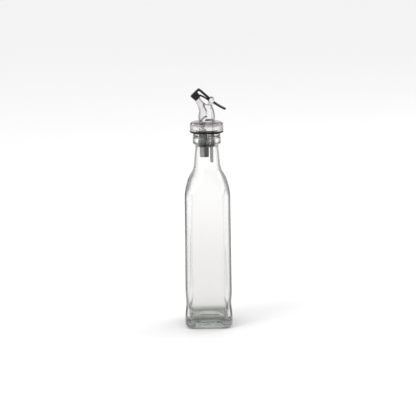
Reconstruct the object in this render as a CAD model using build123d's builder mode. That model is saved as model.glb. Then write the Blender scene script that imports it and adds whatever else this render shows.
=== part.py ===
from build123d import *
import os
from math import cos, radians, sin

os.makedirs("parts", exist_ok=True)

# Square glass kitchen oil bottle with a flip-top pourer pushed into its neck.
# Millimetres, +Z up. The origin is the centre of the base, on the plane that the bottle
# stands on. The bottle pours towards -X, and the thumb lever's tail points towards +X.

# Glass bottle: heel, waist, walls and shoulder
body_width = 51.0  # across the flats, just under the shoulder
foot_spread = 1.4  # the foot of the straight walls is wider than the body by this
waist_draw = 0.2  # the waist is narrower than the body by this
heel_spread = 2.6  # the heel is wider than the body by this
waist_ease = 0.5  # how much the sections beside the waist close in
body_corner = 9.0  # radius of the body's upright corners
cavity_corner = 7.8
heel_radius = 5.5
heel_height = 10.0
waist_height = 28.0
foot_height = 44.0
shoulder_base = 150.0
shoulder_rise = 37.0
cavity_shoulder_drop = 1.5  # the cavity's shoulder ends this far under the outside's
glass_wall = 3.2
floor_thickness = 8.5
inner_heel_radius = 5.0
push_up_margin = 2.0  # flat of the base between the heel's round and the push-up
push_up_depth = 2.4

# Glass bottle: neck, bead and lip
neck_radius = 13.0
neck_flare = 1.6  # the neck is wider at its foot by this radius
neck_wall = 3.0
neck_rise = 34.0
neck_flat = 0.5  # half of each flat that is left where the shoulder turns round
neck_straight = 4.0  # under the bead
neck_blend = 1.5
bead_proud = 2.8
bead_thickness = 7.4
bead_slope_rise = 1.0  # height of the bead's underside slope above the bead's bottom
bead_slope_drop = 1.5  # and below it
lip_proud = 2.3
lip_thickness = 4.6
lip_round = 1.2
groove_depth = 0.9
groove_width = 1.0

# Fits
seat_gap = 0.15  # between the washer and the lip, and between the seal pad and the mouth
push_fit = 0.02  # radial gap of pieces that are pushed together for good
running_fit = 0.05  # radial gap of pieces that slide or turn

# Stopper: washer, sleeve and tubes
washer_thickness = 1.9
washer_round = 0.4
rib_depth = 0.9
rib_count = 4
rib_pitch = 3.4
rib_root = 1.3
rib_tip = 0.6
sleeve_length = 17.5
sleeve_round = 0.8
flange_lap = 2.4  # the flange reaches this far over the neck's bore
flange_thickness = 1.2
pour_tube_radius = 5.2
pour_tube_offset = 2.9  # the tube's middle is off the bottle's by this, towards -X
tube_web = 1.25  # sleeve wall between the two tubes
pour_tube_wall = 0.9
pour_tube_drop = 27.8  # from the lip to the tube's foot
air_tube_radius = 1.85
air_tube_wall = 0.75
air_tube_drop = 34.2
tube_round = 0.25

# Clear housing: collar, spout and ears
collar_overhang = 3.5  # the collar is wider than the lip by this radius
collar_height = 10.3
collar_round = 4.0
collar_dome = 0.6  # fall of the collar's top from the spout to the edge
spout_shift = 0.2  # the spout's middle is off the bottle's by this, towards +X
spout_radius = 8.8
spout_rise = 18.6
spout_ledge = 2.0  # level part of the collar's top round the spout
spout_flare = 1.6  # radius of the hollow curve at its foot
spout_root = 1.0  # how deep the spout's foot reaches into the collar
trunk_shoulder_drop = 6.0
trunk_round = 1.5
nozzle_inset = 0.2  # the nozzle's root stands this far inside the trunk's
nozzle_wall = 2.1
mouth_reach = 10.0
mouth_rise = 24.4
mouth_lean = 44.0  # degrees that the mouth's axis leans from +Z towards -X
mouth_radius = 3.6
mouth_bore = 2.1
mouth_run_out = 0.5  # the bore is cut this far past the mouth
pivot_reach = 5.7
pivot_rise = 23.85
ear_gap = 9.0  # between the ears
ear_thickness = 2.1
ear_wall = 2.1  # round the pin
ear_root_reach = 3.4
ear_root_drop = 2.5
ear_root_radius = 2.6
air_way_radius = 1.1

# Lever, pin, pad and spring
pin_radius = 1.2
pin_head_lap = 1.5
pin_head_thickness = 0.9
pin_head_round = 0.4
wire_radius = 0.3
coil_gap = 0.4  # between the pin and the coil
coil_pitch = 0.72
coil_turns = 3.0
spring_leg = 6.5
rest_leg_angle = 25.0  # degrees below level, towards -X
tail_leg_angle = 38.0  # degrees below level, towards +X
hub_wall = 0.6  # outside the coil
hub_side_gap = 0.3
arm_side_gap = 0.9
arm_thickness = 2.35
arm_angle = 41.7  # degrees below level, from the hood down to the hub
arm_drop = 0.3  # the arm's middle passes this far under the pin
hood_height = 8.4
hood_plate = 2.4
hood_width = 10.8
hood_half_length = 4.4
hood_round = 1.3
hood_corner = 2.0
hood_draft = 7.0  # degrees that the hood's block widens outward
hood_draft_spread = 1.5  # how much wider the block is outside than at the pad
apex_round = 2.8
strut_thickness = 1.3
strut_width = 1.3
strut_inner = 2.1
strut_bow = (0.5, 0.7)
strut_foot = (-1.6, -2.2)  # from the pin
tail_run = 15.6
tail_drop = 10.4
tail_thickness = 2.3
tail_width = 10.4
tail_corner = 3.0
tail_pad_gap = 0.8  # between the ears and the tail's wide end
pad_offset = 1.4  # the pad's middle, up the mouth's face from the bore
pad_radius = 3.9
pad_thickness = 2.1
pad_proud = 0.8

# Widths, heights and places that follow from the sizes above
foot_width = body_width + foot_spread
waist_width = body_width - waist_draw
heel_width = body_width + heel_spread
push_up_radius = body_width / 2 - heel_radius - push_up_margin
neck_base = shoulder_base + shoulder_rise
neck_base_radius = neck_radius + neck_flare
neck_bore_radius = neck_radius - neck_wall
lip_height = neck_base + neck_rise
bead_top = lip_height - lip_thickness - groove_width
bead_bottom = bead_top - bead_thickness
bead_foot = bead_bottom - bead_slope_drop
bead_radius = neck_radius + bead_proud
lip_radius = neck_radius + lip_proud
washer_bottom = lip_height + seat_gap
collar_bottom = washer_bottom + washer_thickness
collar_top = collar_bottom + collar_height
collar_radius = lip_radius + collar_overhang
sleeve_radius = neck_bore_radius - rib_depth
flange_radius = neck_bore_radius + flange_lap
pour_tube_x = -pour_tube_offset
air_tube_x = pour_tube_x + pour_tube_radius + tube_web + air_tube_radius
flange_top = collar_bottom + flange_thickness
passage_radius = pour_tube_radius - pour_tube_wall
spout_top = collar_top + spout_rise
nozzle_radius = passage_radius + nozzle_wall
nozzle_x = spout_shift - spout_radius + nozzle_radius + nozzle_inset
mouth = (spout_shift - mouth_reach, collar_top + mouth_rise)
pivot = (spout_shift + pivot_reach, collar_top + pivot_rise)
ear_radius = pin_radius + ear_wall
ear_root = (spout_shift + ear_root_reach, spout_top - ear_root_drop)
ear_outer = ear_gap / 2 + ear_thickness
coil_radius = pin_radius + coil_gap + wire_radius
hub_radius = coil_radius + wire_radius + hub_wall
spring_slot = coil_pitch * coil_turns / 2 + wire_radius + hub_side_gap
arm_width = ear_gap - 2 * arm_side_gap
arm_half = arm_thickness / 2
tail_end = (pivot[0] + tail_run, pivot[1] - tail_drop)


def lean_point(origin, lean, across, up):
    """A point of the XZ plane, given across and up in axes that lean towards -X."""
    turn = radians(lean)
    x = origin[0] + across * cos(turn) - up * sin(turn)
    z = origin[1] + across * sin(turn) + up * cos(turn)
    return (x, z)


def meet(start_a, toward_a, start_b, toward_b):
    """The point of the XZ plane where two lines meet, each given by two points."""
    ax, az = toward_a[0] - start_a[0], toward_a[1] - start_a[1]
    bx, bz = toward_b[0] - start_b[0], toward_b[1] - start_b[1]
    gap_x, gap_z = start_b[0] - start_a[0], start_b[1] - start_a[1]
    share = (gap_x * bz - gap_z * bx) / (ax * bz - az * bx)
    return (start_a[0] + share * ax, start_a[1] + share * az)


def leaning_plane(x, z, lean):
    """A plane across the spout's path, whose normal leans from +Z towards -X."""
    turn = radians(lean)
    return Plane(origin=(x, 0, z), x_dir=(0, 1, 0), z_dir=(-sin(turn), 0, cos(turn)))


# Outside sections of the glass, as height and width across the flats
waist_sections = [
    (heel_height, heel_width),
    (heel_height + 0.35 * (waist_height - heel_height), heel_width - waist_ease),
    (waist_height, waist_width),
    (waist_height + 0.5 * (foot_height - waist_height), foot_width - waist_ease),
    (foot_height, foot_width),
]
wall_sections = [(foot_height, foot_width), (shoulder_base, body_width)]
# Shares of the shoulder's rise, of its spread, and of the way from square to round
shoulder_shares = [
    (0.00, 1.000, 0.00),
    (0.08, 0.994, 0.04),
    (0.20, 0.940, 0.20),
    (0.34, 0.820, 0.45),
    (0.48, 0.675, 0.70),
    (0.60, 0.490, 0.87),
    (0.71, 0.270, 0.96),
    (0.82, 0.090, 0.99),
    (1.00, 0.000, 1.00),
]
join_lap = 0.05  # the shoulder's top is wider than the neck by this radius
neck_width = 2 * (neck_base_radius + join_lap)
cavity_neck_width = neck_width - 2 * glass_wall
cavity_neck_height = neck_base - cavity_shoulder_drop
shoulder_sections = []
cavity_shoulder = []
for rise, spread, roundness in shoulder_shares:
    width = neck_width + spread * (body_width - neck_width)
    corner = body_corner + roundness * (width / 2 - neck_flat - body_corner)
    shoulder_sections.append((shoulder_base + rise * shoulder_rise, width, corner))
    height = shoulder_base + rise * (shoulder_rise - cavity_shoulder_drop)
    width = width - 2 * glass_wall
    corner = cavity_corner + roundness * (width / 2 - neck_flat - cavity_corner)
    cavity_shoulder.append((height, width, corner))

with BuildPart() as cavity:
    # The space for the oil: floor, straight walls, shoulder and the neck's bore
    with BuildSketch(Plane.XY.offset(floor_thickness)):
        floor_width = foot_width - 2 * glass_wall
        RectangleRounded(floor_width, floor_width, cavity_corner)
    extrude(amount=foot_height - floor_thickness)
    fillet(cavity.faces().sort_by(Axis.Z)[0].edges(), inner_heel_radius)
    for height, width in wall_sections:
        with BuildSketch(Plane.XY.offset(height)):
            RectangleRounded(width - 2 * glass_wall, width - 2 * glass_wall, cavity_corner)
    loft(ruled=True)
    for height, width, corner in cavity_shoulder:
        with BuildSketch(Plane.XY.offset(height)):
            RectangleRounded(width, width, corner)
    loft()
    with BuildSketch(Plane.XZ):
        with BuildLine():
            Polyline(
                (0, cavity_neck_height),
                (cavity_neck_width / 2 - join_lap, cavity_neck_height),
                (neck_bore_radius, bead_foot - neck_straight),
                (neck_bore_radius, lip_height - lip_round),
                (neck_bore_radius + lip_round, lip_height),
                (neck_bore_radius + lip_round, lip_height + lip_round),
                (0, lip_height + lip_round),
                close=True,
            )
        make_face()
    revolve(axis=Axis.Z)

with BuildPart() as glass_bottle:
    # Heel, waist, straight walls and shoulder, from the base up
    with BuildSketch():
        RectangleRounded(heel_width, heel_width, body_corner)
    extrude(amount=heel_height)
    fillet(glass_bottle.faces().sort_by(Axis.Z)[0].edges(), heel_radius)
    for height, width in waist_sections:
        with BuildSketch(Plane.XY.offset(height)):
            RectangleRounded(width, width, body_corner)
    loft()
    for height, width in wall_sections:
        with BuildSketch(Plane.XY.offset(height)):
            RectangleRounded(width, width, body_corner)
    loft(ruled=True)
    for height, width, corner in shoulder_sections:
        with BuildSketch(Plane.XY.offset(height)):
            RectangleRounded(width, width, corner)
    loft()
    # Neck, with a bead and a lip ring
    with BuildSketch(Plane.XZ) as neck_outline:
        with BuildLine():
            Polyline(
                (0, neck_base),
                (neck_base_radius, neck_base),
                (neck_radius, bead_foot - neck_straight),
                (neck_radius, bead_foot),
                (bead_radius, bead_bottom + bead_slope_rise),
                (bead_radius, bead_top),
                (lip_radius - groove_depth, bead_top + groove_width / 2),
                (lip_radius, bead_top + groove_width),
                (lip_radius, lip_height),
                (0, lip_height),
                close=True,
            )
        make_face()
        ring_corners = neck_outline.vertices().filter_by(lambda v: v.X > lip_radius - join_lap)
        fillet(ring_corners, lip_round)
        neck_ends = neck_outline.vertices().filter_by(
            lambda v: abs(v.X - neck_radius) < join_lap
        )
        fillet(neck_ends, neck_blend)
    revolve(axis=Axis.Z)
    add(cavity.part, mode=Mode.SUBTRACT)
    # Push-up under the base
    push_up_sphere = (push_up_radius**2 + push_up_depth**2) / (2 * push_up_depth)
    with Locations((0, 0, push_up_depth - push_up_sphere)):
        Sphere(push_up_sphere, mode=Mode.SUBTRACT)
glass_bottle.part.label = "glass_bottle"
export_step(glass_bottle.part, "parts/glass_bottle.step")

with BuildPart() as stopper_sleeve:
    # Flange that sits in the collar, plug that goes down the neck, and thin ribs
    with BuildSketch(Plane.XY.offset(collar_bottom)):
        Circle(flange_radius)
    extrude(amount=flange_thickness)
    with BuildSketch(Plane.XY.offset(collar_bottom)):
        Circle(sleeve_radius)
    extrude(amount=-sleeve_length)
    fillet(stopper_sleeve.faces().sort_by(Axis.Z)[0].edges(), sleeve_round)
    rib_radius = neck_bore_radius - running_fit
    first_rib = lip_height - lip_round - rib_root
    for step in range(rib_count):
        rib_middle = first_rib - step * rib_pitch
        with BuildSketch(Plane.XZ):
            with BuildLine():
                Polyline(
                    (sleeve_radius - rib_depth, rib_middle - rib_root / 2),
                    (sleeve_radius, rib_middle - rib_root / 2),
                    (rib_radius, rib_middle + rib_root / 2 - rib_tip),
                    (rib_radius, rib_middle + rib_root / 2),
                    (sleeve_radius - rib_depth, rib_middle + rib_root / 2),
                    close=True,
                )
            make_face()
        revolve(axis=Axis.Z)
    with BuildSketch(Plane.XY.offset(collar_bottom + flange_thickness)):
        with Locations((pour_tube_x, 0)):
            Circle(pour_tube_radius + push_fit)
        with Locations((air_tube_x, 0)):
            Circle(air_tube_radius + push_fit)
    extrude(amount=-(flange_thickness + sleeve_length), mode=Mode.SUBTRACT)
stopper_sleeve.part.label = "stopper_sleeve"
export_step(stopper_sleeve.part, "parts/stopper_sleeve.step")

with BuildPart() as sealing_washer:
    with BuildSketch(Plane.XY.offset(washer_bottom)):
        Circle(collar_radius)
        Circle(sleeve_radius + push_fit, mode=Mode.SUBTRACT)
    extrude(amount=washer_thickness)
    outer_edges = sealing_washer.edges().filter_by(GeomType.CIRCLE).sort_by(SortBy.RADIUS)[-2:]
    fillet(outer_edges, washer_round)
sealing_washer.part.label = "sealing_washer"
export_step(sealing_washer.part, "parts/sealing_washer.step")

with BuildPart() as pour_tube:
    with BuildSketch(Plane.XY.offset(lip_height - pour_tube_drop)):
        with Locations((pour_tube_x, 0)):
            Circle(pour_tube_radius)
            Circle(passage_radius, mode=Mode.SUBTRACT)
    extrude(amount=flange_top - lip_height + pour_tube_drop)
    fillet(pour_tube.edges().group_by(Axis.Z)[0], tube_round)
pour_tube.part.label = "pour_tube"
export_step(pour_tube.part, "parts/pour_tube.step")

with BuildPart() as air_tube:
    with BuildSketch(Plane.XY.offset(lip_height - air_tube_drop)):
        with Locations((air_tube_x, 0)):
            Circle(air_tube_radius)
            Circle(air_tube_radius - air_tube_wall, mode=Mode.SUBTRACT)
    extrude(amount=flange_top - lip_height + air_tube_drop)
    fillet(air_tube.edges().group_by(Axis.Z)[0], tube_round)
air_tube.part.label = "air_tube"
export_step(air_tube.part, "parts/air_tube.step")

# The nozzle's bend: how far right of the mouth and below it, lean, outside and bore radius
bend_sections = [
    (4.6, 6.9, 32.0, 4.5, 3.1),
    (1.5, 2.2, 40.0, 3.4, 2.3),
]
# The spout's outside from its root to the mouth, as x, z, lean and radius
nozzle_sections = [
    (nozzle_x, collar_top - spout_root, 0.0, nozzle_radius),
    (nozzle_x, collar_top + 0.40 * spout_rise, 0.0, nozzle_radius),
    (nozzle_x - 0.1, collar_top + 0.67 * spout_rise, 10.0, nozzle_radius - 0.2),
]
# The pour passage inside it, from the top of the tube to just past the mouth
passage_sections = [
    (pour_tube_x, flange_top - mouth_run_out, 0.0, passage_radius),
    (pour_tube_x, collar_top + 0.35 * spout_rise, 0.0, passage_radius),
    (pour_tube_x - 0.3, collar_top + 0.68 * spout_rise, 12.0, passage_radius - 0.4),
]
for back, drop, lean, outside, bore in bend_sections:
    nozzle_sections.append((mouth[0] + back, mouth[1] - drop, lean, outside))
    passage_sections.append((mouth[0] + back, mouth[1] - drop, lean, bore))
nozzle_sections.append((*mouth, mouth_lean, mouth_radius))
passage_end = lean_point(mouth, mouth_lean, 0, mouth_run_out)
passage_sections.append((*passage_end, mouth_lean, mouth_bore))

with BuildPart() as pour_passage:
    for x, z, lean, radius in passage_sections:
        with BuildSketch(leaning_plane(x, z, lean)):
            Circle(radius)
    loft()

with BuildPart() as spout_housing:
    # Collar
    with BuildSketch(Plane.XZ) as collar_outline:
        with BuildLine():
            Polyline(
                (0, collar_bottom),
                (collar_radius, collar_bottom),
                (collar_radius, collar_top - collar_dome),
                (spout_radius + spout_ledge, collar_top),
                (0, collar_top),
                close=True,
            )
        make_face()
        shoulder = collar_outline.vertices().sort_by_distance(
            (collar_radius, collar_top - collar_dome, 0)
        )
        fillet(shoulder[0], collar_round)
    revolve(axis=Axis.Z)
    # Spout trunk, which carries the ears
    with BuildSketch(Plane.XY.offset(collar_top - spout_root)):
        with Locations((spout_shift, 0)):
            Circle(spout_radius)
    with BuildSketch(Plane.XY.offset(spout_top - trunk_shoulder_drop)):
        with Locations((spout_shift, 0)):
            Ellipse(0.91 * spout_radius, 0.80 * spout_radius)
    with BuildSketch(Plane.XY.offset(spout_top)):
        with Locations((spout_shift, 0)):
            Ellipse(0.62 * spout_radius, 0.64 * spout_radius)
    loft()
    fillet(spout_housing.faces().sort_by(Axis.Z)[-1].edges(), trunk_round)
    # Hollow curve that spreads the spout's foot over the collar
    with BuildSketch(Plane.XZ.shift_origin((spout_shift, 0, 0))):
        with BuildLine():
            Polyline(
                (spout_radius, collar_top + spout_flare),
                (spout_radius - spout_flare, collar_top + spout_flare),
                (spout_radius - spout_flare, collar_top - collar_dome),
                (spout_radius + spout_flare, collar_top - collar_dome),
                (spout_radius + spout_flare, collar_top),
            )
            RadiusArc(
                (spout_radius + spout_flare, collar_top),
                (spout_radius, collar_top + spout_flare),
                spout_flare,
            )
        make_face()
    revolve(axis=Axis((spout_shift, 0, 0), (0, 0, 1)))
    # Nozzle that bends over to the mouth
    for x, z, lean, radius in nozzle_sections:
        with BuildSketch(leaning_plane(x, z, lean)):
            Circle(radius)
    loft()
    # Two ears on the back of the trunk, with the pin's holes
    for side in (1, -1):
        with BuildSketch(Plane.XZ.offset(side * ear_gap / 2)):
            with Locations(pivot):
                Circle(ear_radius)
            with Locations(ear_root):
                Circle(ear_root_radius)
            make_hull()
        extrude(amount=side * ear_thickness)
    with BuildSketch(Plane.XZ):
        with Locations(pivot):
            Circle(pin_radius + push_fit)
    extrude(amount=ear_outer, both=True, mode=Mode.SUBTRACT)
    # Passage, the recess for the sleeve's flange, and the air way
    add(pour_passage.part, mode=Mode.SUBTRACT)
    with BuildSketch(Plane.XY.offset(collar_bottom)):
        Circle(flange_radius + push_fit)
    extrude(amount=flange_thickness + running_fit, mode=Mode.SUBTRACT)
    with BuildSketch(Plane.XY.offset(collar_bottom)):
        with Locations((air_tube_x, 0)):
            Circle(air_way_radius)
    extrude(amount=collar_height + spout_rise, mode=Mode.SUBTRACT)
spout_housing.part.label = "spout_housing"
export_step(spout_housing.part, "parts/spout_housing.step")

# Corners of the lever's side view. "Across" runs up the mouth's face, "up" away from it.
pad_middle = lean_point(mouth, mouth_lean, pad_offset, 0)
hood_inner = hood_height - hood_plate
hood_low_inner = lean_point(pad_middle, mouth_lean, -hood_half_length, hood_inner)
hood_low_outer = lean_point(pad_middle, mouth_lean, -hood_half_length, hood_height)
hood_high_inner = lean_point(pad_middle, mouth_lean, hood_half_length, hood_inner)
hood_high_outer = lean_point(pad_middle, mouth_lean, hood_half_length, hood_height)
arm_low_upper = lean_point(pivot, -arm_angle, 0, arm_half - arm_drop)
arm_high_upper = lean_point(pivot, -arm_angle, -tail_run, arm_half - arm_drop)
arm_low_under = lean_point(pivot, -arm_angle, 0, -arm_half - arm_drop)
arm_high_under = lean_point(pivot, -arm_angle, -tail_run, -arm_half - arm_drop)
apex_outer = meet(hood_low_outer, hood_high_outer, arm_low_upper, arm_high_upper)
apex_inner = meet(hood_low_inner, hood_high_inner, arm_low_under, arm_high_under)
hood_plane = leaning_plane(*pad_middle, mouth_lean)
block_inner = seat_gap + pad_proud
tail_start = lean_point(pivot, -arm_angle, 0, -arm_drop)
tail_slope = (cos(radians(arm_angle)), -sin(radians(arm_angle)))

with BuildPart() as tail_strip:
    with BuildSketch(Plane.XZ):
        with BuildLine():
            TangentArc(tail_start, tail_end, tangent=tail_slope)
            offset(amount=tail_thickness / 2)
        make_face()
    extrude(amount=tail_width / 2, both=True)

with BuildPart() as thumb_pad:
    # The tail's wide end, cut from the strip by its outline seen from above
    add(tail_strip.part)
    pad_start = pivot[0] + ear_radius + tail_pad_gap
    pad_length = tail_end[0] + tail_thickness / 2 - pad_start
    with BuildSketch(Plane.XY.offset(tail_end[1] - tail_thickness)):
        with Locations((pad_start + pad_length / 2, 0)):
            RectangleRounded(pad_length, tail_width, tail_corner)
    extrude(amount=tail_run, mode=Mode.INTERSECT)

with BuildPart() as hood_block:
    # Holds the seal pad over the mouth
    with BuildSketch(hood_plane.offset(block_inner)):
        block_length = 2 * hood_half_length - hood_draft_spread
        RectangleRounded(hood_width - hood_draft_spread, block_length, hood_corner)
    extrude(amount=hood_height - block_inner, taper=-hood_draft)
    outer_face = hood_block.faces().sort_by_distance(hood_plane.offset(hood_height).origin)[0]
    fillet(outer_face.edges(), hood_round)

with BuildPart() as lever:
    # Hood plate and arm, one bent strip with a rounded apex
    with BuildSketch(Plane.XZ) as strip:
        with BuildLine():
            Polyline(
                hood_low_inner,
                hood_low_outer,
                apex_outer,
                arm_low_upper,
                arm_low_under,
                apex_inner,
                close=True,
            )
        make_face()
        fillet(strip.vertices().sort_by_distance((*apex_outer, 0))[0], apex_round)
        fillet(strip.vertices().sort_by_distance((*hood_low_outer, 0))[0], hood_round)
    extrude(amount=arm_width / 2, both=True)
    add(hood_block.part)
    # Hub round the pin
    with BuildSketch(Plane.XZ):
        with Locations(pivot):
            Circle(hub_radius)
    extrude(amount=ear_gap / 2 - hub_side_gap, both=True)
    # Tail, narrow between the ears and wide under the thumb
    with BuildSketch(Plane.XZ):
        with BuildLine():
            TangentArc(tail_start, tail_end, tangent=tail_slope)
            offset(amount=tail_thickness / 2)
        make_face()
    extrude(amount=arm_width / 2, both=True)
    add(thumb_pad.part)
    # Two thin braces from the block to the hub
    strut_head = lean_point(
        pad_middle,
        mouth_lean,
        hood_half_length - strut_thickness / 2,
        block_inner + strut_thickness / 2,
    )
    strut_end = (pivot[0] + strut_foot[0], pivot[1] + strut_foot[1])
    strut_middle = (
        (strut_head[0] + strut_end[0]) / 2 + strut_bow[0],
        (strut_head[1] + strut_end[1]) / 2 + strut_bow[1],
    )
    for side in (1, -1):
        with BuildSketch(Plane.XZ.offset(side * strut_inner)):
            with BuildLine():
                ThreePointArc(strut_head, strut_middle, strut_end)
                offset(amount=strut_thickness / 2)
            make_face()
        extrude(amount=side * strut_width)
    # Pin hole, spring slot and the pad's recess
    with BuildSketch(Plane.XZ):
        with Locations(pivot):
            Circle(pin_radius + running_fit)
    extrude(amount=ear_gap, both=True, mode=Mode.SUBTRACT)
    with BuildSketch(Plane.XZ):
        with Locations(pivot):
            Circle(hub_radius + running_fit)
    extrude(amount=spring_slot, both=True, mode=Mode.SUBTRACT)
    with BuildSketch(hood_plane.offset(block_inner)):
        Circle(pad_radius + push_fit)
    extrude(amount=pad_thickness - pad_proud, mode=Mode.SUBTRACT)
lever.part.label = "lever"
export_step(lever.part, "parts/lever.step")

with BuildPart() as seal_pad:
    with BuildSketch(hood_plane.offset(seat_gap)):
        Circle(pad_radius)
    extrude(amount=pad_thickness)
seal_pad.part.label = "seal_pad"
export_step(seal_pad.part, "parts/seal_pad.step")

with BuildPart() as pivot_pin:
    with BuildSketch(Plane.XZ):
        with Locations(pivot):
            Circle(pin_radius)
    extrude(amount=ear_outer, both=True)
    for side in (1, -1):
        with BuildSketch(Plane.XZ.offset(side * ear_outer)):
            with Locations(pivot):
                Circle(pin_radius + pin_head_lap)
        extrude(amount=side * pin_head_thickness)
    rims = pivot_pin.edges().filter_by(GeomType.CIRCLE).sort_by(Axis.Y)
    fillet([rims[0], rims[-1]], pin_head_round)
pivot_pin.part.label = "pivot_pin"
export_step(pivot_pin.part, "parts/pivot_pin.step")

# The coil starts at the leg that bears on the trunk and ends at the leg under the tail. A
# place on the coil is an angle from its -X side, growing towards +Z.
coil_start = -90.0 - rest_leg_angle
coil_end = tail_leg_angle - 90.0
coil_sweep = 360.0 * coil_turns + coil_start - coil_end
coil_length = coil_pitch * coil_sweep / 360.0
start_turn = radians(coil_start)
coil_plane = Plane(
    origin=(pivot[0], -coil_length / 2, pivot[1]),
    x_dir=(-cos(start_turn), 0, sin(start_turn)),
    z_dir=(0, 1, 0),
)
coil_line = coil_plane * Helix(coil_pitch, coil_length, coil_radius, lefthand=True)

with BuildPart() as return_spring:
    # One wire: the leg on the trunk, the coil round the pin, the leg under the tail
    with BuildLine() as wire_path:
        Line(coil_line @ 0 - spring_leg * (coil_line % 0), coil_line @ 0)
        add(coil_line)
        Line(coil_line @ 1, coil_line @ 1 + spring_leg * (coil_line % 1))
    with BuildSketch(Plane(origin=wire_path.line @ 0, z_dir=wire_path.line % 0)):
        Circle(wire_radius)
    sweep()
return_spring.part.label = "return_spring"
export_step(return_spring.part, "parts/return_spring.step")
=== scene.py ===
import logging
from dataclasses import dataclass
from enum import Enum
from math import acos, atan2, copysign, cos, pi, radians, sin, tan
from typing import Callable, Optional, Sequence, Union

import bmesh
import bpy
from mathutils import Matrix, Vector, noise


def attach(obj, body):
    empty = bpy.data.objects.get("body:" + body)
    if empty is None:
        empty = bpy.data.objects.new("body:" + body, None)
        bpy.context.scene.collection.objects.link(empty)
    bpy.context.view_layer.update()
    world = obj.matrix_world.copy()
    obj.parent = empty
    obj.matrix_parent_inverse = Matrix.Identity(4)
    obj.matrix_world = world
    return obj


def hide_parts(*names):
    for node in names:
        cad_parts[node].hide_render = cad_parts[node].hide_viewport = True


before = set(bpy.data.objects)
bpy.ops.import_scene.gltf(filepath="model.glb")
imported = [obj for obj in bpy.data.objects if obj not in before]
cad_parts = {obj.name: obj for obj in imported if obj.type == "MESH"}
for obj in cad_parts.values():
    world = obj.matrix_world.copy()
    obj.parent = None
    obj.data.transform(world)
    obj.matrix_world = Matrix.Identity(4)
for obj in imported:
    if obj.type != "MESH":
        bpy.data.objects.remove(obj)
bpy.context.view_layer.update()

log = logging.getLogger("oil_bottle")

MM = 0.001  # sizes below are in millimetres, and every mesh is in metres
CAVITY_MARK = "cavity_side"  # mesh attribute: 1 on the skin of a cavity
CORNER_MARK = "corner"  # mesh attribute: 1 where the glass turns a corner, 0 on its flats
PIVOT = (5.9, 257.2)  # x and z of the pin that the lever and the spring turn on
ARC_STEPS = 8  # rows on the rounded edges and the flat ends of the glass
BLACK = (0.0, 0.0, 0.0)
HALF = (0.5, 0.5, 0.5)
WHITE = (1.0, 1.0, 1.0)
RGB = tuple[float, float, float]
Point2 = tuple[float, float]
Row = tuple[float, float, float]  # height, width across the flats, corner radius
Corner = tuple[float, float, float]  # x, z, and the radius that rounds it
Stops = Sequence[tuple[float, RGB]]  # places, and the colour at each
Value = Union["Socket", float]


class Body(Enum):
    """The bodies that pieces ride on."""

    BOTTLE = "bottle"
    POURER = "pourer"
    LEVER = "lever"


class Slot(Enum):
    """The record's material slots of the pieces made here."""

    GLASS = "bottle_glass"
    BLACK_PLASTIC = "black_plastic"
    WASHER_RUBBER = "black_rubber"
    PAD_RUBBER = "pad_rubber"
    SPRING_STEEL = "spring_steel"


# ---------------------------------------------------------------- shader helpers


class Socket:
    """An output socket of a material's nodes, on which sums can be written."""

    def __init__(self, net: "Net", link: bpy.types.NodeSocket) -> None:
        """Wrap one output.

        Args:
            net: The node tree that the socket belongs to.
            link: The output socket.
        """
        self.net = net
        self.link = link

    def _math(self, operation: str, first: Value, second: Value) -> "Socket":
        """Add one Math node.

        Args:
            operation: The Math node's operation.
            first: Its first value.
            second: Its second value.

        Returns:
            The node's result.
        """
        return self.net.node("ShaderNodeMath", {"operation": operation}, {0: first, 1: second})

    def __add__(self, other: Value) -> "Socket":
        """Sum."""
        return self._math("ADD", self, other)

    def __radd__(self, other: Value) -> "Socket":
        """Sum, reflected."""
        return self._math("ADD", other, self)

    def __sub__(self, other: Value) -> "Socket":
        """Difference."""
        return self._math("SUBTRACT", self, other)

    def __rsub__(self, other: Value) -> "Socket":
        """Difference, reflected."""
        return self._math("SUBTRACT", other, self)

    def __mul__(self, other: Value) -> "Socket":
        """Product."""
        return self._math("MULTIPLY", self, other)

    def __rmul__(self, other: Value) -> "Socket":
        """Product, reflected."""
        return self._math("MULTIPLY", other, self)


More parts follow.
